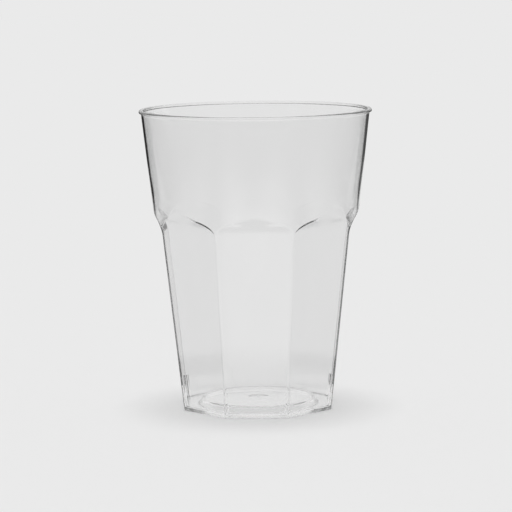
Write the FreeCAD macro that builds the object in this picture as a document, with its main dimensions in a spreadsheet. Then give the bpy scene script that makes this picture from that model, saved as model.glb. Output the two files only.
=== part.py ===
import FreeCAD, Part

import math
import os

import Sketcher

# Clear moulded tumbler, one piece: a round flared mouth over a body with eight flat panels.
# The outer form and the inner form are built like the two halves of its mould.
# The outer form less the inner form leaves the thin wall, the raised floor and the ribs.
# The origin is the middle of the foot, the axis is Z, and a panel faces each of X and Y.

# Driving sizes, in millimetres and degrees
SIZES = [
    ("cup_height", 110.0, "foot to the top of the rim"),
    ("wall", 0.95, "thickness of the side wall"),
    ("cone_foot_radius", 29.64, "round outer wall carried down to the foot"),
    ("cone_taper", 6.35, "lean of the round wall"),
    ("rim_reach", 0.92, "how far the bead stands out of the round wall"),
    ("rim_depth", 1.1, "height of the bead"),
    ("rim_bevel", 0.3, "bevel along both outer edges of the bead"),
    ("lip_bevel", 0.3, "bevel of the inner lip"),
    ("facet_count", 8, "flat panels around the body"),
    ("facet_foot", 27.06, "panel to the axis at the foot"),
    ("facet_taper", 6.0, "lean of the panels"),
    ("facet_rise", 65.3, "height where a panel starts to curve out"),
    ("flare_radius", 11.0, "curve that carries a panel out through the round wall"),
    ("corner_round", 2.0, "outer rounding between two panels"),
    ("foot_bevel", 0.3, "bevel around the foot"),
    ("foot_thickness", 1.2, "floor outside the raised disc"),
    ("recess_radius", 20.2, "round recess under the cup"),
    ("recess_depth", 2.15, "depth of that recess"),
    ("step_wall", 0.8, "wall of the step around the raised disc"),
    ("floor_thickness", 1.05, "thickness of the raised disc"),
    ("gate_radius", 4.1, "mouth of the dimple where the plastic was fed in"),
    ("gate_slant", 2.4, "width of the slanted ring around the flat of the dimple"),
    ("gate_depth", 0.8, "depth of the dimple"),
    ("gate_stub_radius", 0.6, "stub left by the feed"),
    ("gate_stub_length", 0.5, "length of that stub"),
    ("rib_width", 1.0, "stacking rib, across"),
    ("rib_depth", 0.9, "stacking rib, from the inner corner inwards"),
    ("rib_top", 9.5, "stacking rib, height of its top over the foot"),
]

doc = FreeCAD.newDocument("tumbler")
sheet = doc.addObject("Spreadsheet::Sheet", "Sizes")
size = {}
for row, (alias, value, meaning) in enumerate(SIZES, start=1):
    sheet.set("A%d" % row, meaning)
    sheet.set("B%d" % row, str(value))
    sheet.setAlias("B%d" % row, alias)
    size[alias] = value
doc.recompute()

cone_lean = math.radians(size["cone_taper"])
facet_lean = math.radians(size["facet_taper"])
corner_step = 360.0 / size["facet_count"]
floor_top = size["recess_depth"] + size["floor_thickness"]


def cone_radius(height):
    """Outer radius of the round wall at a height."""
    return size["cone_foot_radius"] + height * math.tan(cone_lean)


# The stock that the panels are cut from stands clear of the bead and of the rim
stock_radius = cone_radius(size["cup_height"]) + size["rim_reach"] + size["flare_radius"]


def origin_part(body, role):
    """Plane or axis of a body's own origin."""
    return [item for item in body.Origin.OriginFeatures if item.Role == role][0]


def new_sketch(body, name, role):
    """Empty sketch on one of the body's origin planes."""
    sketch = body.newObject("Sketcher::SketchObject", name)
    sketch.AttachmentSupport = (origin_part(body, role), [""])
    sketch.MapMode = "FlatFace"
    return sketch


def flat(point):
    return FreeCAD.Vector(point[0], point[1], 0)


def draw(sketch, pieces):
    """Closed run of lines (start, end) and arcs (start, end, centre), joined end to end."""
    joints = []
    for piece in pieces:
        start, end = piece[0], piece[1]
        if len(piece) == 2:
            number = sketch.addGeometry(Part.LineSegment(flat(start), flat(end)))
            joints.append((number, 1, 2))
            continue
        centre = piece[2]
        first = math.atan2(start[1] - centre[1], start[0] - centre[0])
        last = math.atan2(end[1] - centre[1], end[0] - centre[0])
        radius = math.dist(start, centre)
        circle = Part.Circle(flat(centre), FreeCAD.Vector(0, 0, 1), radius)
        if (last - first) % (2 * math.pi) < math.pi + 1e-6:
            number = sketch.addGeometry(Part.ArcOfCircle(circle, first, last))
            joints.append((number, 1, 2))
        else:
            number = sketch.addGeometry(Part.ArcOfCircle(circle, last, first))
            joints.append((number, 2, 1))
    following = joints[1:] + joints[:1]
    for (number, _, way_out), (neighbour, way_in, _) in zip(joints, following):
        sketch.addConstraint(Sketcher.Constraint("Coincident", number, way_out, neighbour, way_in))
    return joints


def draw_through(sketch, points):
    """Closed run of straight lines through the points."""
    return draw(sketch, list(zip(points, points[1:] + points[:1])))


def bind(sketch, joint, across=None, up=None):
    """Ties the start of one piece to sizes in the sheet."""
    number, start, _ = joint
    point = sketch.getPoint(number, start)
    for kind, value, formula in (("DistanceX", point.x, across), ("DistanceY", point.y, up)):
        if formula:
            held = sketch.addConstraint(Sketcher.Constraint(kind, -1, 1, number, start, value))
            sketch.setExpression("Constraints[%d]" % held, formula)


def bind_radius(sketch, joint, radius, formula):
    held = sketch.addConstraint(Sketcher.Constraint("Radius", joint[0], radius))
    sketch.setExpression("Constraints[%d]" % held, formula)


def revolved(body, sketch, name):
    """Full turn of a profile about the axis of the cup."""
    turn = body.newObject("PartDesign::Revolution", name)
    turn.Profile = sketch
    turn.ReferenceAxis = (sketch, ["V_Axis"])
    turn.Angle = 360
    return turn


def on_corner(vertex):
    """Whether a vertex lies on a plane through the axis midway between two panels."""
    angle = math.degrees(math.atan2(vertex.Y, vertex.X))
    steps = angle / corner_step - 0.5
    return abs(steps - round(steps)) < 1e-4


def corner_edges(shape):
    """Edges that run up between neighbouring panels."""
    names = []
    for number, edge in enumerate(shape.Edges, start=1):
        ends = edge.Vertexes
        if len(ends) == 2 and all(on_corner(end) for end in ends):
            if abs(ends[0].Z - ends[1].Z) > 0.1:
                names.append("Edge%d" % number)
    return names


def level_edges(shape, height):
    """Edges that lie whole in a level plane."""
    names = []
    for number, edge in enumerate(shape.Edges, start=1):
        box = edge.BoundBox
        if abs(box.ZMin - height) < 1e-4 and abs(box.ZMax - height) < 1e-4:
            names.append("Edge%d" % number)
    return names


def eased(body, feature, kind, names, alias):
    """Fillets or chamfers the named edges of a feature by one size of the sheet."""
    edges = body.newObject("PartDesign::" + kind, feature.Name + "_" + alias)
    edges.Base = (feature, names)
    edges.setExpression("Radius" if kind == "Fillet" else "Size", "Sizes." + alias)
    body.Tip = edges
    doc.recompute()
    return edges


# Round outer wall with its bead, from foot to rim, as one turned profile
outer_cone = doc.addObject("PartDesign::Body", "outer_cone")
bead_foot = size["cup_height"] - size["rim_depth"]
bead_edge = cone_radius(bead_foot) + size["rim_reach"]
bevel = size["rim_bevel"]
profile = new_sketch(outer_cone, "outer_cone_profile", "XZ_Plane")
runs = draw_through(profile, [
    (0, 0),
    (size["cone_foot_radius"], 0),
    (cone_radius(bead_foot), bead_foot),
    (bead_edge - bevel, bead_foot),
    (bead_edge, bead_foot + bevel),
    (bead_edge, size["cup_height"] - bevel),
    (bead_edge - bevel, size["cup_height"]),
    (0, size["cup_height"]),
])
bead_foot_formula = "Sizes.cup_height - Sizes.rim_depth"
cone_formula = "Sizes.cone_foot_radius + (%s) * tan(Sizes.cone_taper * 1 deg)" % bead_foot_formula
bead_formula = cone_formula + " + Sizes.rim_reach"
bind(profile, runs[1], across="Sizes.cone_foot_radius")
bind(profile, runs[2], across=cone_formula, up=bead_foot_formula)
bind(profile, runs[3], across=bead_formula + " - Sizes.rim_bevel", up=bead_foot_formula)
bind(profile, runs[4], across=bead_formula, up=bead_foot_formula + " + Sizes.rim_bevel")
bind(profile, runs[5], across=bead_formula, up="Sizes.cup_height - Sizes.rim_bevel")
bind(profile, runs[6], across=bead_formula + " - Sizes.rim_bevel", up="Sizes.cup_height")
bind(profile, runs[7], up="Sizes.cup_height")
revolved(outer_cone, profile, "outer_cone_turned")
doc.recompute()

# Recess under the floor, with the gate dimple and its stub left standing in it
gate_top = size["recess_depth"] + size["gate_depth"]
gate_flat = size["gate_radius"] - size["gate_slant"]
stub_tip = gate_top - size["gate_stub_length"]
recess = new_sketch(outer_cone, "recess_profile", "XZ_Plane")
runs = draw_through(recess, [
    (0, 0),
    (size["recess_radius"], 0),
    (size["recess_radius"], size["recess_depth"]),
    (size["gate_radius"], size["recess_depth"]),
    (gate_flat, gate_top),
    (size["gate_stub_radius"], gate_top),
    (size["gate_stub_radius"], stub_tip),
    (0, stub_tip),
])
gate_flat_formula = "Sizes.gate_radius - Sizes.gate_slant"
gate_top_formula = "Sizes.recess_depth + Sizes.gate_depth"
stub_formula = gate_top_formula + " - Sizes.gate_stub_length"
bind(recess, runs[1], across="Sizes.recess_radius")
bind(recess, runs[2], across="Sizes.recess_radius", up="Sizes.recess_depth")
bind(recess, runs[3], across="Sizes.gate_radius", up="Sizes.recess_depth")
bind(recess, runs[4], across=gate_flat_formula, up=gate_top_formula)
bind(recess, runs[5], across="Sizes.gate_stub_radius", up=gate_top_formula)
bind(recess, runs[6], across="Sizes.gate_stub_radius", up=stub_formula)
bind(recess, runs[7], up=stub_formula)
groove = outer_cone.newObject("PartDesign::Groove", "recess_turned")
groove.Profile = recess
groove.ReferenceAxis = (recess, ["V_Axis"])
groove.Angle = 360
outer_cone.Tip = groove
doc.recompute()


def facet_form(name, inset, start, inset_formula):
    """Stock cut back to the panels: each is a flat that leans out and then curves out.

    The inset moves the whole surface inwards, square to itself, about the same curve centre.
    """
    body = doc.addObject("PartDesign::Body", name)
    base = new_sketch(body, name + "_stock_outline", "XY_Plane")
    circle = Part.Circle(FreeCAD.Vector(0, 0, 0), FreeCAD.Vector(0, 0, 1), stock_radius)
    base.addGeometry(circle)
    base.addConstraint(Sketcher.Constraint("Coincident", 0, 3, -1, 1))
    base.addConstraint(Sketcher.Constraint("Radius", 0, stock_radius))
    base.AttachmentOffset = FreeCAD.Placement(FreeCAD.Vector(0, 0, start), FreeCAD.Rotation())
    if start:
        base.setExpression("AttachmentOffset.Base.z", "Sizes.foot_thickness")
    stock = body.newObject("PartDesign::Pad", name + "_stock")
    stock.Profile = base
    stock.setExpression("Length", "Sizes.cup_height + Sizes.rim_depth")
    doc.recompute()

    curve = size["flare_radius"] + inset
    foot = (size["facet_foot"] - inset / math.cos(facet_lean), 0)
    rise = size["facet_rise"] + inset * math.sin(facet_lean)
    bend = (foot[0] + rise * math.tan(facet_lean), rise)
    centre = (bend[0] + curve * math.cos(facet_lean), rise - curve * math.sin(facet_lean))
    # The curve runs on past the round wall, until it leans 60 degrees, and then runs on straight
    crest = (centre[0] - curve / 2, centre[1] + curve * math.sqrt(3) / 2)
    out = 2 * stock_radius
    far = (out, crest[1] + (out - crest[0]) / math.sqrt(3))
    cut = new_sketch(body, name + "_panel_profile", "XZ_Plane")
    runs = draw(cut, [
        (foot, bend),
        (bend, crest, centre),
        (crest, far),
        (far, (out, 0)),
        ((out, 0), foot),
    ])
    lean = "Sizes.facet_taper * 1 deg"
    rise_formula = "Sizes.facet_rise + %s * sin(%s)" % (inset_formula, lean)
    foot_formula = "Sizes.facet_foot - %s / cos(%s)" % (inset_formula, lean)
    bend_formula = "%s + (%s) * tan(%s)" % (foot_formula, rise_formula, lean)
    bind(cut, runs[0], across=foot_formula)
    bind(cut, runs[1], across=bend_formula, up=rise_formula)
    bind_radius(cut, runs[1], curve, "Sizes.flare_radius + " + inset_formula)

    panel = body.newObject("PartDesign::Pocket", name + "_panel")
    panel.Profile = cut
    panel.Type = "Length"
    panel.SideType = "Symmetric"
    panel.Length = 4 * stock_radius
    before = stock.Shape.Volume
    doc.recompute()
    if panel.Shape.Volume > before - 1.0:
        raise SystemExit(name + ": the panel cut took nothing away")

    pattern = body.newObject("PartDesign::PolarPattern", name + "_panels")
    pattern.Originals = [panel]
    pattern.Axis = (origin_part(body, "Z_Axis"), [""])
    pattern.Angle = 360
    pattern.setExpression("Occurrences", "Sizes.facet_count")
    body.Tip = pattern
    doc.recompute()
    return body, pattern


# Outer panels, with the corners between them rounded and the edge of the foot bevelled
outer_facets, cut = facet_form("outer_facets", 0.0, 0.0, "0")
cut = eased(outer_facets, cut, "Fillet", corner_edges(cut.Shape), "corner_round")
eased(outer_facets, cut, "Chamfer", level_edges(cut.Shape, 0.0), "foot_bevel")

# Inner panels, one wall further in, standing on the floor, with crisp corners
inner_facets, _ = facet_form("inner_facets", size["wall"], size["foot_thickness"], "Sizes.wall")

# Round inside: the wall, the bevelled lip, the raised disc of the floor and the dome over the gate
inner_cone = doc.addObject("PartDesign::Body", "inner_cone")
inset = size["wall"] / math.cos(cone_lean)
lip_height = size["cup_height"] - size["lip_bevel"]
step_radius = size["recess_radius"] + size["step_wall"]
dome_top = gate_top + size["floor_thickness"]
lip = cone_radius(lip_height) - inset
inside_foot = cone_radius(size["foot_thickness"]) - inset
profile = new_sketch(inner_cone, "inner_cone_profile", "XZ_Plane")
runs = draw_through(profile, [
    (0, dome_top),
    (gate_flat, dome_top),
    (size["gate_radius"], floor_top),
    (step_radius, floor_top),
    (step_radius, size["foot_thickness"]),
    (inside_foot, size["foot_thickness"]),
    (lip, lip_height),
    (lip + size["lip_bevel"], size["cup_height"]),
    (0, size["cup_height"]),
])
inset_formula = "Sizes.wall / cos(Sizes.cone_taper * 1 deg)"
lip_height_formula = "Sizes.cup_height - Sizes.lip_bevel"
inside_formula = "Sizes.cone_foot_radius + (%s) * tan(Sizes.cone_taper * 1 deg) - " + inset_formula
floor_formula = "Sizes.recess_depth + Sizes.floor_thickness"
step_formula = "Sizes.recess_radius + Sizes.step_wall"
lip_formula = inside_formula % lip_height_formula
dome_formula = gate_top_formula + " + Sizes.floor_thickness"
bind(profile, runs[1], across=gate_flat_formula, up=dome_formula)
bind(profile, runs[2], across="Sizes.gate_radius", up=floor_formula)
bind(profile, runs[3], across=step_formula, up=floor_formula)
bind(profile, runs[4], across=step_formula, up="Sizes.foot_thickness")
bind(profile, runs[5], across=inside_formula % "Sizes.foot_thickness", up="Sizes.foot_thickness")
bind(profile, runs[6], across=lip_formula, up=lip_height_formula)
bind(profile, runs[7], across=lip_formula + " + Sizes.lip_bevel", up="Sizes.cup_height")
bind(profile, runs[8], up="Sizes.cup_height")
revolved(inner_cone, profile, "inner_cone_turned")
doc.recompute()

# Stacking rib in each inner corner: it follows the corner's lean and has a level top
ribs = doc.addObject("PartDesign::Body", "ribs")
half_corner = math.radians(corner_step / 2)
corner_lean = math.tan(facet_lean) / math.cos(half_corner)
inner_corner = (size["facet_foot"] - size["wall"] / math.cos(facet_lean)) / math.cos(half_corner)
rib_foot = inner_corner - size["rib_depth"]
rib_face = rib_foot + size["rib_top"] * corner_lean
rib_back = rib_face + size["rib_depth"] + size["wall"] / 2
rib_profile = new_sketch(ribs, "rib_profile", "XZ_Plane")
runs = draw_through(rib_profile, [
    (rib_foot, 0),
    (rib_back, 0),
    (rib_back, size["rib_top"]),
    (rib_face, size["rib_top"]),
])
bind(rib_profile, runs[2], up="Sizes.rib_top")
bind(rib_profile, runs[3], up="Sizes.rib_top")
rib = ribs.newObject("PartDesign::Pad", "rib")
rib.Profile = rib_profile
rib.SideType = "Symmetric"
rib.setExpression("Length", "Sizes.rib_width")
doc.recompute()
rib_ring = ribs.newObject("PartDesign::PolarPattern", "rib_ring")
rib_ring.Originals = [rib]
rib_ring.Axis = (origin_part(ribs, "Z_Axis"), [""])
rib_ring.Angle = 360
rib_ring.setExpression("Occurrences", "Sizes.facet_count")
ribs.Tip = rib_ring
ribs.Placement = FreeCAD.Placement(
    FreeCAD.Vector(0, 0, 0), FreeCAD.Rotation(FreeCAD.Vector(0, 0, 1), corner_step / 2))
ribs.setExpression("Placement.Rotation.Angle", "180 deg / Sizes.facet_count")
doc.recompute()

# The round form cut by the panels gives the arches, outside and inside alike
outer_form = doc.addObject("Part::Common", "outer_form")
outer_form.Base = outer_cone
outer_form.Tool = outer_facets
inner_form = doc.addObject("Part::Common", "inner_form")
inner_form.Base = inner_cone
inner_form.Tool = inner_facets
core = doc.addObject("Part::Cut", "core")
core.Base = inner_form
core.Tool = ribs
tumbler = doc.addObject("Part::Cut", "tumbler")
tumbler.Base = outer_form
tumbler.Tool = core
tumbler.Label = "tumbler"
doc.recompute()

# Nothing is written unless every object of the document is sound
for item in doc.Objects:
    if "Invalid" in item.State or "Error" in item.State:
        raise SystemExit("%s failed: %s" % (item.Name, item.State))
for item in (outer_form, inner_form, core, tumbler):
    if item.Shape.isNull() or not item.Shape.isValid():
        raise SystemExit("%s has no sound shape" % item.Name)
if len(tumbler.Shape.Solids) != 1:
    raise SystemExit("the tumbler is not one solid")

os.makedirs("parts", exist_ok=True)
tumbler.Shape.exportStep("parts/%s.step" % tumbler.Label)
box = tumbler.Shape.BoundBox
print("tumbler: volume %.0f mm3" % tumbler.Shape.Volume)
print("box %.2f x %.2f x %.2f mm" % (box.XLength, box.YLength, box.ZLength))
print("inside, brimful: %.0f ml" % (core.Shape.Volume / 1000))
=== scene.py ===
import bpy
import numpy as np
from mathutils import Matrix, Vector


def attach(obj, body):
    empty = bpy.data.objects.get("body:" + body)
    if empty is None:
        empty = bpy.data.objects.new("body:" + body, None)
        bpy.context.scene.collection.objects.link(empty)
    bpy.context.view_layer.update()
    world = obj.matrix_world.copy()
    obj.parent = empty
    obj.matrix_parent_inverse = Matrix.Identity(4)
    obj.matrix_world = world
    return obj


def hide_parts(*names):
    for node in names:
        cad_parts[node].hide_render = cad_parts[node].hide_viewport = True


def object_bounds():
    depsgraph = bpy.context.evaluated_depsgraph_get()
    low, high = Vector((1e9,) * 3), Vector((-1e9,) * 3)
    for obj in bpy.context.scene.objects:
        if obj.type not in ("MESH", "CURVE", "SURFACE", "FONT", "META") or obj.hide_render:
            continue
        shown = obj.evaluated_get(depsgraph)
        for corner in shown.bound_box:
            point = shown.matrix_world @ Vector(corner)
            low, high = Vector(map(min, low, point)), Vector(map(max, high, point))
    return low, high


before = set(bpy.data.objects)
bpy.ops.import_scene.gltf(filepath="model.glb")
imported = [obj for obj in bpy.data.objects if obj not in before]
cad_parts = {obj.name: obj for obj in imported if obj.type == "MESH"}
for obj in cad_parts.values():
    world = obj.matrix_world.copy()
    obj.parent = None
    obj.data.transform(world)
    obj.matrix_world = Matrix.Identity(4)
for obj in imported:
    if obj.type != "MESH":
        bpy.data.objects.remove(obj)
cad_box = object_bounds()

# Side wall: round and flared at the mouth, with eight flat panels cut into it below.
# Clear polystyrene, injected into a steel mould in one shot with the floor and the rim.
# Sizes are in millimetres and angles in degrees until the mesh is written.
MM = 1000
WALL = 0.95
CUP_HEIGHT = round(cad_box[1][2] * MM, 2)
CONE_FOOT, CONE_LEAN = 29.74, 6.35
PANELS, PANEL_FOOT, PANEL_LEAN = 8, 27.06, 6.0
FLARE_START, FLARE_RADIUS = 65.3, 11.0
OUTER_CORNER, INNER_CORNER = 2.0, 1.05
ARCH_MIDDLE, ARCH_SPAN, ARCH_CORE = 70.0, 16.0, 4.0
ARCH_CRISP, ARCH_SOFT, ARCH_SOFT_WIDTH = 0.12, 2.4, 15.0

cone_slope = np.tan(np.radians(CONE_LEAN))
panel_slope = np.tan(np.radians(PANEL_LEAN))
half_panel = 180.0 / PANELS
flare_across = (PANEL_FOOT + FLARE_START * panel_slope
                + FLARE_RADIUS * np.cos(np.radians(PANEL_LEAN)))
flare_up = FLARE_START - FLARE_RADIUS * np.sin(np.radians(PANEL_LEAN))


def cone_radius(height, inset):
    """Radius of the round wall: the foot radius plus height times the slope, less the inset."""
    return CONE_FOOT + height * cone_slope - inset / np.cos(np.radians(CONE_LEAN))


def panel_distance(height, inset):
    """Panel to axis: a straight lean up to the flare, then a circle about a centre outside."""
    straight = PANEL_FOOT - inset / np.cos(np.radians(PANEL_LEAN)) + height * panel_slope
    radius = FLARE_RADIUS + inset
    start = FLARE_START + inset * np.sin(np.radians(PANEL_LEAN))
    over = np.clip((height - flare_up) / radius, 0.0, 0.999)
    curved = flare_across - radius * np.sqrt(1.0 - over ** 2)
    return np.where(height < start, straight, curved)


def from_panel_middle(angle):
    """Angle to the middle of the nearest panel, from 0 to half a panel."""
    return np.abs((angle + half_panel) % (2 * half_panel) - half_panel)


def panelled_radius(angle, distance, rounding):
    """Eight-sided outline: distance over cosine on a flat, a circle about a centre at a corner."""
    off = np.radians(from_panel_middle(angle))
    half = np.radians(half_panel)
    flat = distance / np.cos(off)
    centre = (distance - rounding) / np.cos(half)
    across = centre * np.sin(half - off)
    corner = (centre * np.cos(half - off)
              + np.sqrt(np.maximum(rounding ** 2 - across ** 2, 0.0)))
    end_of_flat = np.arctan((distance - rounding) * np.tan(half) / distance)
    return np.where(off < end_of_flat, flat, corner)


def wall_radius(angle, height, inset, rounding):
    """Smaller of the round and the panelled outline, with the edge between them eased.

    The easing takes off a quarter of its width where the two are equal, and nothing where
    they differ by more than the width. It is wide at the top of an arch and narrow at its ends.
    """
    share = np.clip(from_panel_middle(angle) / ARCH_SOFT_WIDTH, 0.0, 1.0)
    width = ARCH_CRISP + ARCH_SOFT * (1.0 - share ** 2) ** 3
    round_one = cone_radius(height, inset)
    panelled = panelled_radius(angle, panel_distance(height, inset), rounding)
    near = np.maximum(width - np.abs(round_one - panelled), 0.0) / width
    return np.minimum(round_one, panelled) - near ** 2 * width / 4


def arch_height(angle, inset):
    """Height where the flare of a panel meets the round wall: a line crossing a circle."""
    turn = np.cos(np.radians(from_panel_middle(angle)))
    slope = cone_slope * turn
    gap = flare_across - cone_radius(0.0, inset) * turn
    radius = FLARE_RADIUS + inset
    middle = (gap * slope + flare_up) / (1 + slope ** 2)
    reach = (gap ** 2 + flare_up ** 2 - radius ** 2) / (1 + slope ** 2)
    return middle + np.sqrt(middle ** 2 - reach)


def follow_arches(level, angle, inset):
    """Levels near the arches bend to run along them; the bend fades out above and below."""
    fade = np.clip((ARCH_SPAN - np.abs(level - ARCH_MIDDLE)) / (ARCH_SPAN - ARCH_CORE), 0.0, 1.0)
    fade = fade ** 2 * (3 - 2 * fade)
    return level + fade * (arch_height(angle, inset) - ARCH_MIDDLE)


# Columns of the grid: close together at the corners, where the ribs and roundings are
beside_corner = np.array([0.0, 0.35, 0.65, 0.88, 0.98, 1.03, 1.08, 1.2, 1.45, 1.75, 2.2, 2.9])
along_panel = np.linspace(3.9, half_panel, 15)[:-1]
from_corner = np.concatenate([beside_corner, along_panel])
sector = np.concatenate([from_corner, [half_panel], 2 * half_panel - from_corner[:0:-1]])
sector_starts = np.arange(PANELS) * 2 * half_panel + half_panel
angle = np.add.outer(sector_starts, sector).ravel()[None, :]

# Rows of the grid: close together along the arches
from_arch = np.array([0.06, 0.13, 0.22, 0.34, 0.5, 0.7, 0.95, 1.25, 1.6, 2.0, 2.5, 3.1, 3.8, 4.6, 5.5])
arch_levels = ARCH_MIDDLE + np.concatenate([-from_arch[::-1], [0.0], from_arch])
wall_levels = np.concatenate([
    [10.2, 11.5, 14.0, 18.0, 24.0, 30.0, 36.0, 42.0, 48.0, 54.0, 58.0, 61.0, 63.0],
    arch_levels,
    [77.0, 79.0, 82.0, 86.0, 91.0, 97.0, 103.0, 106.5],
])


def wall_block(levels, inset, rounding):
    """Rows of the wall at these levels, as radius and height of every column."""
    height = follow_arches(levels[:, None], angle, inset)
    return wall_radius(angle, height, inset, rounding), height


def ring_block(profile):
    """Rows that are true circles, from pairs of radius and height."""
    pairs = np.array(profile)
    return pairs[:, :1] + 0 * angle, pairs[:, 1:] + 0 * angle


def bend(centre, radius, start, end, steps):
    """Pairs of radius and height along a circular bend, between two angles in degrees."""
    turn = np.radians(np.linspace(start, end, steps))
    return np.stack([centre[0] + radius * np.cos(turn), centre[1] + radius * np.sin(turn)], 1)


# Underside: a round recess, and in its middle the dimple where the plastic was fed in.
# The stub of the feed is left standing in the dimple, clear of the table.
RECESS_DEPTH, RECESS_FOOT, RECESS_END = 2.15, 21.1, 19.3
GATE_RADIUS, GATE_DEPTH = 4.1, 0.4
STUB_RADIUS, STUB_LENGTH, STUB_EASE = 0.6, 0.5, 0.12
gate_top = RECESS_DEPTH + GATE_DEPTH
stub_tip = gate_top - STUB_LENGTH
step_shares = np.linspace(0.0, 1.0, 13)


def gate_bell(radius, base, depth):
    """Shallow bell: depth times the square of one less the squared radius over the rim's."""
    return base + depth * (1 - (radius / GATE_RADIUS) ** 2) ** 2


def soft_step(start, end):
    """Step from one radius and height to another, along half a wave of the cosine."""
    across = start[0] + (end[0] - start[0]) * step_shares
    up = start[1] + (end[1] - start[1]) * (1 - np.cos(np.pi * step_shares)) / 2
    return np.stack([across, up], 1)


stub = bend((STUB_RADIUS - STUB_EASE, stub_tip + STUB_EASE), STUB_EASE, -90, 0, 4)
bowl_radii = np.array([0.72, 0.85, 1.1, 1.6, 2.2, 2.8, 3.4, 3.8, 3.95, GATE_RADIUS])
bowl = np.stack([bowl_radii, gate_bell(bowl_radii, RECESS_DEPTH, GATE_DEPTH)], 1)
under_rows = ring_block(np.concatenate([
    [[STUB_RADIUS / 2, stub_tip]], stub, [[STUB_RADIUS, gate_top - 0.1]], bowl,
    [[across, RECESS_DEPTH] for across in (4.3, 4.6, 10.0, 19.0)],
    soft_step((RECESS_END, RECESS_DEPTH), (RECESS_FOOT, 0.0)),
]))

# Foot: the flat ring that the cup stands on, round inside and eight-sided outside.
# Its outer edge is eased, as the mould's parting line is polished there.
FOOT_EASE = 0.2
foot_shares = np.array([0.05, 0.3, 0.7, 0.95])[:, None]
foot_outline = wall_radius(angle, FOOT_EASE, 0.0, OUTER_CORNER)
slant = 1 / np.cos(np.radians(from_panel_middle(angle)))
foot_edge = foot_outline - FOOT_EASE * slant
foot_rows = (RECESS_FOOT + foot_shares * (foot_edge - RECESS_FOOT), 0 * foot_shares + 0 * angle)
ease = np.radians(np.array([0.0, 22.5, 45.0, 67.5]))[:, None]
ease_rows = (foot_edge + FOOT_EASE * slant * np.sin(ease), FOOT_EASE * (1 - np.cos(ease)) + 0 * angle)

outer_levels = np.concatenate([[FOOT_EASE, 0.4, 0.9, 2.0, 4.0, 7.0], wall_levels, [107.8, 108.2]])
outer_rows = wall_block(outer_levels, 0.0, OUTER_CORNER)

# Rim: a small bead round the mouth, moulded with the wall, that stiffens it.
# Its top is full and round outside, its underside is flat, and the lip inside is eased.
BEAD_DEPTH, BEAD_REACH = 1.1, 0.8
NECK_ROUND, UNDER_ROUND, BEAD_ROUND, LIP_EASE = 0.15, 0.3, 0.7, 0.3
bead_foot = CUP_HEIGHT - BEAD_DEPTH
bead_edge = cone_radius(bead_foot, 0.0) + BEAD_REACH
lip_start = CUP_HEIGHT - LIP_EASE
lip_edge = cone_radius(lip_start, WALL)
neck = bend((cone_radius(bead_foot, 0.0) + NECK_ROUND, bead_foot - NECK_ROUND), NECK_ROUND, 180, 90, 4)
under_bead = bend((bead_edge - UNDER_ROUND, bead_foot + UNDER_ROUND), UNDER_ROUND, -90, 0, 6)
bead = bend((bead_edge - BEAD_ROUND, CUP_HEIGHT - BEAD_ROUND), BEAD_ROUND, 0, 90, 9)
lip = bend((lip_edge + LIP_EASE, lip_start), LIP_EASE, 90, 180, 6)
rim_rows = ring_block(np.concatenate([neck, under_bead, bead, lip]))

# Ribs: one in each inner corner, from the floor to a level top that a stacked cup stands on.
# They are moulded with the wall and keep stacked cups from jamming.
RIB_TOP, RIB_DEPTH, RIB_HALF_ANGLE, RIB_EASE, RIB_FLANK = 9.5, 0.9, 1.03, 0.06, 0.06
FLOOR_RING, FLOOR_EASE = 1.2, 0.7


def ribbed_radius(angle, height):
    """Inner wall, but in a narrow strip at each corner a flat face one rib depth further in."""
    wall = wall_radius(angle, height, WALL, INNER_CORNER)
    off = half_panel - from_panel_middle(angle)
    sharp_corner = panel_distance(height, WALL) / np.cos(np.radians(half_panel))
    face = (sharp_corner - RIB_DEPTH) / np.cos(np.radians(off))
    share = np.clip((RIB_HALF_ANGLE + RIB_FLANK / 2 - off) / RIB_FLANK, 0.0, 1.0)
    below = np.clip((RIB_TOP - height) / RIB_EASE, 0.0, 1.0)
    return wall + (face - wall) * share * below


inner_levels = np.concatenate([wall_levels, [108.3, 109.2, lip_start - 0.05]])[::-1]
inner_rows = wall_block(inner_levels, WALL, INNER_CORNER)
rib_levels = np.array([9.9, 9.6, 9.52, RIB_TOP, RIB_TOP - RIB_EASE,
                       9.38, 9.2, 8.6, 7.0, 4.5, 3.2, 2.4, 2.0])[:, None]
rib_rows = (ribbed_radius(angle, rib_levels + 0 * angle), rib_levels + 0 * angle)

# Floor inside: a flat ring by the wall, then the step up to the raised disc over the recess,
# with a low dome in its middle over the dimple of the feed.
STEP_FOOT, STEP_END, DISC_TOP = 22.0, 20.1, 3.2
DOME_HEIGHT = 0.15
floor_outline = ribbed_radius(angle, FLOOR_RING + FLOOR_EASE + 0 * angle)
floor_ease = np.radians(np.array([0.0, 30.0, 60.0, 90.0]))[:, None]
floor_edge = floor_outline - FLOOR_EASE * slant
floor_ease_rows = (floor_edge + FLOOR_EASE * slant * np.cos(floor_ease),
                   FLOOR_RING + FLOOR_EASE * (1 - np.sin(floor_ease)) + 0 * angle)
ring_shares = np.array([0.05, 0.35, 0.7, 0.95])[:, None]
ring_rows = (floor_edge + ring_shares * (STEP_FOOT - floor_edge),
             FLOOR_RING + 0 * ring_shares + 0 * angle)
dome_radii = np.array([GATE_RADIUS, 3.95, 3.8, 3.4, 2.8, 2.2, 1.6, 1.1, 0.6, 0.25])
dome = np.stack([dome_radii, gate_bell(dome_radii, DISC_TOP, DOME_HEIGHT)], 1)
disc_rows = ring_block(np.concatenate([
    soft_step((STEP_FOOT, FLOOR_RING), (STEP_END, DISC_TOP)),
    [[across, DISC_TOP] for across in (19.8, 10.0, 4.6, 4.3)], dome,
]))

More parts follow.
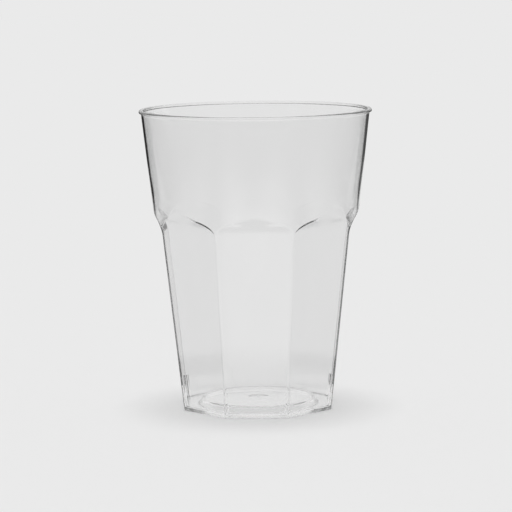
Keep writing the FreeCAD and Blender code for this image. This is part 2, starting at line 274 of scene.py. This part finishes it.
# The whole cup as one closed skin, from under the middle of the floor, up the outside,
# over the rim, down the inside and back to the middle, because it is one moulding.
blocks = [under_rows, foot_rows, ease_rows, outer_rows, rim_rows, inner_rows, rib_rows,
          floor_ease_rows, ring_rows, disc_rows]
radius = np.concatenate([block[0] for block in blocks])
height = np.concatenate([block[1] for block in blocks])
turn = np.radians(angle)
grid = np.stack([radius * np.cos(turn), radius * np.sin(turn), height], 2) / MM
rows, columns = radius.shape
poles = np.array([[0, 0, stub_tip], [0, 0, DISC_TOP + DOME_HEIGHT]]) / MM
points = np.concatenate([grid.reshape(-1, 3), poles])

here = np.arange(rows * columns).reshape(rows, columns)
beside = np.roll(here, -1, axis=1)
quads = np.stack([here[:-1], beside[:-1], beside[1:], here[1:]], 2).reshape(-1, 4)
under_pole, inside_pole = rows * columns, rows * columns + 1
under_fan = np.stack([np.full(columns, under_pole), beside[0], here[0]], 1)
inside_fan = np.stack([here[-1], beside[-1], np.full(columns, inside_pole)], 1)

skin = bpy.data.meshes.new("tumbler_skin")
skin.from_pydata(points.tolist(), [], quads.tolist() + under_fan.tolist() + inside_fan.tolist())
skin.shade_smooth()
cup = bpy.data.objects.new("clear_tumbler", skin)
bpy.context.scene.collection.objects.link(cup)

# Clear polystyrene: glossy and nearly colourless, and its edges go grey where light runs
# along the wall. Faint flow streaks run up the wall from the feed, handling has dulled it a
# little in patches, and the foot is scuffed.
RESIN_INDEX, RESIN_COLOUR, RESIN_DENSITY = 1.58, (0.5, 0.515, 0.51, 1.0), 6.0
FLOW_SIZE, FLOW_STRETCH, FLOW_HEIGHT, FLOW_DULLEST = 140.0, 0.12, 0.000012, 0.988
HANDLED_SIZE, POLISHED, HANDLED = 45.0, 0.004, 0.035
SCUFF_SIZE, SCUFFED, SCUFF_TOP, SCUFF_FULL = 2500.0, 0.12, 0.00012, 0.00004
# Values of the noise from which a streak or a patch comes in, and at which it is full
FLOW_BAND, HANDLED_BAND = (0.3, 0.7), (0.45, 0.75)


def node_makers(tree):
    """Makers for one node tree: any node, a step of arithmetic, and a smooth rise from 0 to 1.

    Each input is a number or a socket to join, in the order of the node's own sockets.
    """
    def add(kind, *inputs, **settings):
        node = tree.nodes.new(kind)
        for name, value in settings.items():
            setattr(node, name, value)
        for socket, value in zip(node.inputs, inputs):
            if isinstance(value, bpy.types.NodeSocket):
                tree.links.new(value, socket)
            else:
                socket.default_value = value
        return node.outputs

    def sum_of(operation, *inputs):
        return add("ShaderNodeMath", *inputs, operation=operation)[0]

    def rise(value, low, high):
        return add("ShaderNodeMapRange", value, low, high, 0.0, 1.0,
                   interpolation_type="SMOOTHSTEP")[0]

    return add, sum_of, rise


plastic = bpy.data.materials.new("clear_polystyrene")
plastic.use_nodes = True
shader = plastic.node_tree.nodes["Principled BSDF"]
shader.inputs["Transmission Weight"].default_value = 1.0
shader.inputs["IOR"].default_value = RESIN_INDEX
add, sum_of, rise = node_makers(plastic.node_tree)
place = add("ShaderNodeTexCoord")["Object"]
up_the_wall = add("ShaderNodeVectorMath", place, (1.0, 1.0, FLOW_STRETCH), operation="MULTIPLY")[0]
flow = add("ShaderNodeTexNoise", up_the_wall, 0.0, FLOW_SIZE, 3.0)[0]
patches = add("ShaderNodeTexNoise", place, 0.0, HANDLED_SIZE, 4.0)[0]
scratches = add("ShaderNodeTexNoise", place, 0.0, SCUFF_SIZE, 2.0)[0]
at_foot = rise(add("ShaderNodeSeparateXYZ", place)["Z"], SCUFF_TOP, SCUFF_FULL)
dulled = sum_of("MULTIPLY_ADD", rise(patches, *HANDLED_BAND), HANDLED - POLISHED, POLISHED)
roughness = sum_of("MULTIPLY_ADD", sum_of("MULTIPLY", at_foot, scratches), SCUFFED, dulled)
clearness = add("ShaderNodeMapRange", flow, *FLOW_BAND, FLOW_DULLEST, 1.0)[0]
tint = add("ShaderNodeCombineColor", clearness, clearness, clearness)[0]
ripple = add("ShaderNodeBump", 1.0, FLOW_HEIGHT, 0.1, flow)[0]
absorb = add("ShaderNodeVolumeAbsorption", RESIN_COLOUR, RESIN_DENSITY)[0]
for socket, value in (("Base Color", tint), ("Roughness", roughness), ("Normal", ripple)):
    plastic.node_tree.links.new(value, shader.inputs[socket])
plastic.node_tree.links.new(absorb, plastic.node_tree.nodes["Material Output"].inputs["Volume"])
skin.materials.append(plastic)

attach(cup, "root")
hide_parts("tumbler")

# Table and backdrop: one pale matt sheet, lit evenly, so that no horizon shows. In the plastic's
# mirror it glows instead with a painted reflection: bright in front, under and behind the cup, half
# as bright to the sides, and nearly black far behind and just beside the foot (painted shade), which
# gives its dark outline.
WHITE = (1.0, 1.0, 1.0, 1.0)
BACKGROUND = 0.823
FLOOR_TOP, FLOOR_REACH = -0.0001, 4.0
# Tones of the painted reflection, which the plastic mirrors from the sheet
PAINTED_REFLECTION_NEAR, PAINTED_REFLECTION_BEHIND, PAINTED_REFLECTION_SIDE = 0.85, 0.75, 0.53
PAINTED_REFLECTION_ROOM, PAINTED_REFLECTION_SHADE = 0.27, 0.02
FAR_LEFT, FAR_RIGHT, FAR_BLEND = 0.025, 0.07, (-0.1, 0.1)

# Each pair is where a tone of the painted reflection begins and where it is full, in metres from the
# middle of the cup. A turn is the share of the distance that lies across (beside the cup) or along
# (aside).
FRONT_NEAR, FRONT_FAR, FRONT_SIDES = (0.065, 0.105), (0.335, 0.22), (0.22, 0.05)
UNDER_EDGE = (0.055, 0.046)
BEHIND_SLANT, BEHIND_WIDTH, BEHIND_SIDES, BEHIND_FAR = 0.42, 0.185, (0.015, 0.0), (0.86, 0.8)
FAR_SLANT, FAR_WIDTH, FAR_SIDES, FAR_NEAR = 0.52, 0.28, (0.03, 0.0), (0.4, 0.46)
ASIDE_TURN, ASIDE_NEAR = (0.0, 0.6), (0.3, 0.42)
BESIDE_TURN, BESIDE_NEAR, BESIDE_FAR = (0.75, 0.9), (0.085, 0.1), (0.4, 0.25)
SHADE_TURN, SHADE_NEAR, SHADE_FAR = (0.7, 0.85), (0.063, 0.069), (0.095, 0.08)

edges = FLOOR_REACH * np.array([[-1, -1], [1, -1], [1, 1], [-1, 1]])
floor_mesh = bpy.data.meshes.new("floor")
floor_mesh.from_pydata([(x, y, FLOOR_TOP) for x, y in edges], [], [(0, 1, 2, 3)])
floor = bpy.data.objects.new("floor", floor_mesh)
bpy.context.scene.collection.objects.link(floor)

paper_with_painted_reflection = bpy.data.materials.new("pale_paper_with_painted_reflection")
paper_with_painted_reflection.use_nodes = True
paper_with_painted_reflection.node_tree.nodes.remove(paper_with_painted_reflection.node_tree.nodes["Principled BSDF"])
add, sum_of, rise = node_makers(paper_with_painted_reflection.node_tree)


def all_of(*shares):
    """Product of the shares: full only where each of them is full."""
    product = shares[0]
    for share in shares[1:]:
        product = sum_of("MULTIPLY", product, share)
    return product


def past_wedge(slant, width, pick):
    """Distance outside a wedge: across, less slant times along or the width, by the pick."""
    return sum_of("SUBTRACT", across, sum_of(pick, sum_of("MULTIPLY", along, slant), width))


def toned(tone, share, level):
    """One tone laid over another: tone plus share times the level less the tone."""
    return sum_of("MULTIPLY_ADD", share, sum_of("SUBTRACT", level, tone), tone)


place = add("ShaderNodeSeparateXYZ", add("ShaderNodeTexCoord")["Object"])
across = sum_of("ABSOLUTE", place["X"])
along = place["Y"]
away = sum_of("SQRT", sum_of("ADD", sum_of("POWER", across, 2.0), sum_of("MULTIPLY", along, along)))
toward = sum_of("MULTIPLY", along, -1.0)
turned_aside = sum_of("DIVIDE", across, away)
turned_ahead = sum_of("DIVIDE", along, away)
in_front = all_of(rise(toward, *FRONT_NEAR), rise(toward, *FRONT_FAR), rise(across, *FRONT_SIDES))
under = rise(away, *UNDER_EDGE)
behind = all_of(rise(past_wedge(BEHIND_SLANT, BEHIND_WIDTH, "MINIMUM"), *BEHIND_SIDES),
                rise(along, *BEHIND_FAR))
aside = all_of(rise(turned_ahead, *ASIDE_TURN), rise(away, *ASIDE_NEAR))
beside_cup = all_of(rise(turned_aside, *BESIDE_TURN), rise(away, *BESIDE_NEAR), rise(away, *BESIDE_FAR))
# Painted shade: a dark ring beside the foot, seen only in the plastic's mirror
painted_dark_ring = all_of(rise(turned_aside, *SHADE_TURN), rise(away, *SHADE_FAR), rise(away, *SHADE_NEAR))
far = all_of(rise(along, *FAR_NEAR), rise(past_wedge(FAR_SLANT, FAR_WIDTH, "MAXIMUM"), *FAR_SIDES))
far_tone = sum_of("MULTIPLY_ADD", rise(place["X"], *FAR_BLEND), FAR_RIGHT - FAR_LEFT, FAR_LEFT)

# Painted reflection: the sheet's tones as the plastic mirrors them, laid one over another
painted_reflection = PAINTED_REFLECTION_ROOM
for share, level in ((aside, PAINTED_REFLECTION_SIDE), (beside_cup, PAINTED_REFLECTION_SIDE), (painted_dark_ring, PAINTED_REFLECTION_SHADE),
                     (far, far_tone), (behind, PAINTED_REFLECTION_BEHIND), (in_front, PAINTED_REFLECTION_NEAR),
                     (under, PAINTED_REFLECTION_NEAR)):
    painted_reflection = toned(painted_reflection, share, level)
matt = add("ShaderNodeBsdfDiffuse", (BACKGROUND, BACKGROUND, BACKGROUND, 1.0))[0]
painted_reflection_shader = add("ShaderNodeEmission", WHITE, painted_reflection)[0]

# Light that has left a matt surface still sees the sheet as it is, so one such step
# outweighs every mirroring on its way; any other mirrored ray sees the painted reflection
OUTWEIGHS = 99.0
path = add("ShaderNodeLightPath")
by_mirror = sum_of("SUBTRACT", path["Glossy Depth"], sum_of("MULTIPLY", path["Diffuse Depth"], OUTWEIGHS))
shown = add("ShaderNodeMixShader", by_mirror, matt, painted_reflection_shader)[0]
paper_with_painted_reflection.node_tree.links.new(shown, paper_with_painted_reflection.node_tree.nodes["Material Output"].inputs["Surface"])
floor_mesh.materials.append(paper_with_painted_reflection)

# Light: soft white from all round, stronger from behind, and a soft lamp overhead.
# The plastic mirrors a painted reflection: a lit band of wall above the horizon, and a darker room
# elsewhere, that only its mirror shows.
LAMP_SHARE, LAMP_SPREAD, LAMP_TILT, FROM_BEHIND = 0.16, 0.25, 2.0, 0.12
LIT_WALL_FOOT, LIT_WALL_SIDES = (0.04, 0.07), (0.15, 0.45)
world = bpy.data.worlds.new("soft_room")
bpy.context.scene.world = world
world.use_nodes = True
world.cycles.sampling_method = "NONE"
world.node_tree.nodes.remove(world.node_tree.nodes["Background"])
add, sum_of, rise = node_makers(world.node_tree)
direction = add("ShaderNodeSeparateXYZ", add("ShaderNodeTexCoord")["Generated"])
# Painted reflection: a lit band of wall that only the plastic's mirror shows, lighting nothing
painted_lit_wall = all_of(rise(direction["Z"], *LIT_WALL_FOOT), rise(direction["Y"], *LIT_WALL_SIDES))
painted_reflection = sum_of("MULTIPLY_ADD", painted_lit_wall, PAINTED_REFLECTION_NEAR - PAINTED_REFLECTION_ROOM, PAINTED_REFLECTION_ROOM)
soft = sum_of("MULTIPLY_ADD", direction["Y"], FROM_BEHIND * (1.0 - LAMP_SHARE), 1.0 - LAMP_SHARE)
path = add("ShaderNodeLightPath")
seen = add("ShaderNodeBackground", WHITE, BACKGROUND)[0]
painted_reflection_shader = add("ShaderNodeBackground", WHITE, painted_reflection)[0]
lighting = add("ShaderNodeBackground", WHITE, soft)[0]
shown = add("ShaderNodeMixShader", path["Glossy Depth"], seen, painted_reflection_shader)[0]
shown = add("ShaderNodeMixShader", path["Diffuse Depth"], shown, lighting)[0]
world.node_tree.links.new(shown, world.node_tree.nodes["World Output"].inputs["Surface"])

overhead = bpy.data.lights.new("overhead", "SUN")
overhead.energy = LAMP_SHARE * np.pi / np.cos(np.radians(LAMP_TILT))
overhead.angle = LAMP_SPREAD
lamp = bpy.data.objects.new("overhead", overhead)
lamp.rotation_euler = (-np.radians(LAMP_TILT), 0, 0)
lamp.visible_camera = lamp.visible_glossy = lamp.visible_transmission = False
bpy.context.scene.collection.objects.link(lamp)

# Camera: a long lens a little above the rim, nearly level, with the least turn to one side.
DISTANCE, ELEVATION, AZIMUTH, ROLL = 0.911633, 7.622, 1.192, -0.618
LENS, SENSOR, AIM = 173.64, 36.0, np.array([-0.000276, -0.000006, 0.055587])
lift, swing, tilt = np.radians([ELEVATION, AZIMUTH, ROLL])
back = np.array([np.sin(swing) * np.cos(lift), -np.cos(swing) * np.cos(lift), np.sin(lift)])
right = np.cross(-back, [0, 0, 1])
right /= np.linalg.norm(right)
up = np.cross(right, -back)
level_right = np.cos(tilt) * right + np.sin(tilt) * up
level_up = -np.sin(tilt) * right + np.cos(tilt) * up
pose = np.eye(4)
pose[:3] = np.stack([level_right, level_up, back, AIM + DISTANCE * back], 1)
lens = bpy.data.cameras.new("camera")
lens.lens = LENS
lens.sensor_width = SENSOR
camera = bpy.data.objects.new("camera", lens)
camera.matrix_world = Matrix(pose.tolist())
bpy.context.scene.collection.objects.link(camera)
bpy.context.scene.camera = camera
bpy.context.scene.view_settings.view_transform = "Standard"

# Light crosses the thin walls many times before it leaves the cup, so it may bounce often
BOUNCES = 64
bpy.context.scene.cycles.blur_glossy = 0.0
for kind in ("max_bounces", "glossy_bounces", "transmission_bounces"):
    setattr(bpy.context.scene.cycles, kind, BOUNCES)
